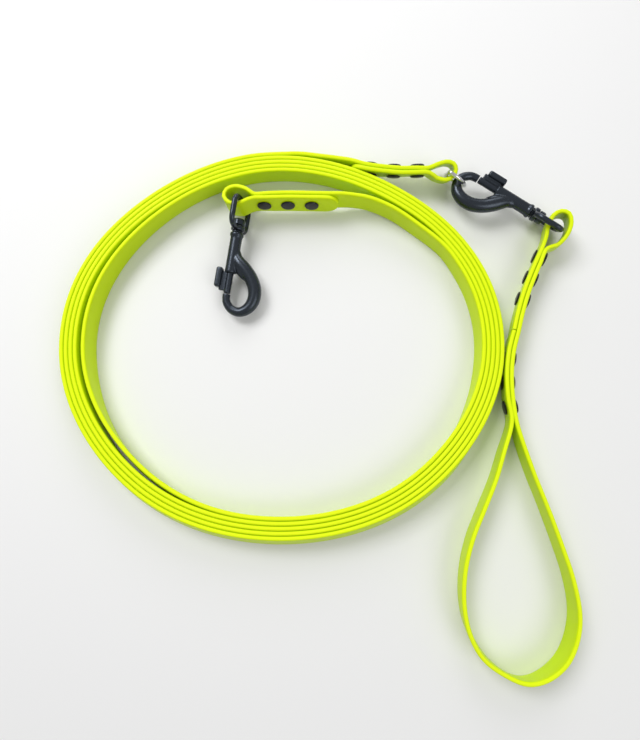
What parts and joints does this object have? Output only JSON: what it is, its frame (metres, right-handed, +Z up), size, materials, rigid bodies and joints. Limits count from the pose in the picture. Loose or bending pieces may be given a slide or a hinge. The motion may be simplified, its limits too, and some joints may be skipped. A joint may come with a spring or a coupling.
{
  "type": "training leash",
  "caption": "Long flat coated-webbing training leash lying in a coil, with a bolt snap at one end, a D-ring at the other, and a short clipped handle strap with a hand loop.",
  "frame": {"origin": "centre of the bounding box's underside, on the surface the coiled leash lies on", "axes": "+Z up, away from the surface; +Y from the hand loop towards the D-ring; +X from the coil towards the handle strap"},
  "size_m": [0.3072, 0.3118, 0.0262],
  "materials": {
    "strap": "satin neon yellow coating over webbing",
    "black_metal": "satin black coating",
    "nickel": "bright nickel plate",
    "spring_steel": "plain drawn wire"
  },
  "bodies": {
    "line": {"line_coil": "strap", "line_snap_end": "strap", "line_ring_end": "strap", "snap_end_rivet_1_post": "black_metal", "snap_end_rivet_1_cap": "black_metal", "snap_end_rivet_2_post": "black_metal", "snap_end_rivet_2_cap": "black_metal", "snap_end_rivet_3_post": "black_metal", "snap_end_rivet_3_cap": "black_metal", "ring_end_rivet_1_post": "black_metal", "ring_end_rivet_1_cap": "black_metal", "ring_end_rivet_2_post": "black_metal", "ring_end_rivet_2_cap": "black_metal", "ring_end_rivet_3_post": "black_metal", "ring_end_rivet_3_cap": "black_metal"},
    "eye_a": {"snap_a_swivel_eye": "black_metal"},
    "snap_a": {"snap_a_body": "black_metal", "snap_a_swivel_post": "black_metal", "snap_a_washer": "black_metal", "snap_a_spring": "spring_steel"},
    "bolt_a": {"snap_a_bolt": "black_metal"},
    "ring": {"d_ring": "nickel"},
    "snap_b": {"snap_b_body": "black_metal", "snap_b_swivel_post": "black_metal", "snap_b_washer": "black_metal", "snap_b_spring": "spring_steel"},
    "bolt_b": {"snap_b_bolt": "black_metal"},
    "eye_b": {"snap_b_swivel_eye": "black_metal"},
    "handle": {"handle_strap": "strap", "handle_fold_rivet_1_post": "black_metal", "handle_fold_rivet_1_cap": "black_metal", "handle_fold_rivet_2_post": "black_metal", "handle_fold_rivet_2_cap": "black_metal", "handle_fold_rivet_3_post": "black_metal", "handle_fold_rivet_3_cap": "black_metal", "hand_loop_rivet_1_post": "black_metal", "hand_loop_rivet_1_cap": "black_metal", "hand_loop_rivet_2_post": "black_metal", "hand_loop_rivet_2_cap": "black_metal", "hand_loop_rivet_3_post": "black_metal", "hand_loop_rivet_3_cap": "black_metal"}
  },
  "joints": [
    {"name": "eye_a_swing", "type": "hinge", "parent": "line", "child": "eye_a", "pos_m": [-0.04848, 0.12143, 0.01404], "axis": [-0.2067, -0.0777, 0.9753], "range_deg": [-35, 45]},
    {"name": "snap_a_swivel", "type": "hinge", "parent": "eye_a", "child": "snap_a", "pos_m": [-0.05176, 0.10203, 0.0118], "axis": [0.1657, 0.9797, 0.1132], "continuous": true},
    {"name": "bolt_a_pull", "type": "slide", "parent": "snap_a", "child": "bolt_a", "axis": [0.1657, 0.9797, 0.1132], "range_m": [0, 0.0105], "stiffness_N_per_m": 400, "springref_m": -0.003, "deforming": ["snap_a_spring"]},
    {"name": "ring_swing", "type": "hinge", "parent": "line", "child": "ring", "pos_m": [0.07824, 0.14103, 0.0121], "axis": [-0.1, -0.42, 0.902], "range_deg": [0, 30]},
    {"name": "snap_b_swing", "type": "hinge", "parent": "ring", "child": "snap_b", "pos_m": [0.08909, 0.13415, 0.0101], "axis": [-0.1, -0.42, 0.902], "range_deg": [0, 35]},
    {"name": "bolt_b_pull", "type": "slide", "parent": "snap_b", "child": "bolt_b", "axis": [0.8241, -0.5664, 0], "range_m": [0, 0.0105], "stiffness_N_per_m": 400, "springref_m": -0.003, "deforming": ["snap_b_spring"]},
    {"name": "eye_b_swivel", "type": "hinge", "parent": "snap_b", "child": "eye_b", "pos_m": [0.12849, 0.11558, 0.0123], "axis": [0.8241, -0.5664, 0], "continuous": true},
    {"name": "handle_swing", "type": "hinge", "parent": "eye_b", "child": "handle", "pos_m": [0.14481, 0.10437, 0.0123], "axis": [-0.2832, -0.4121, 0.866], "range_deg": [0, 10]}
  ]
}
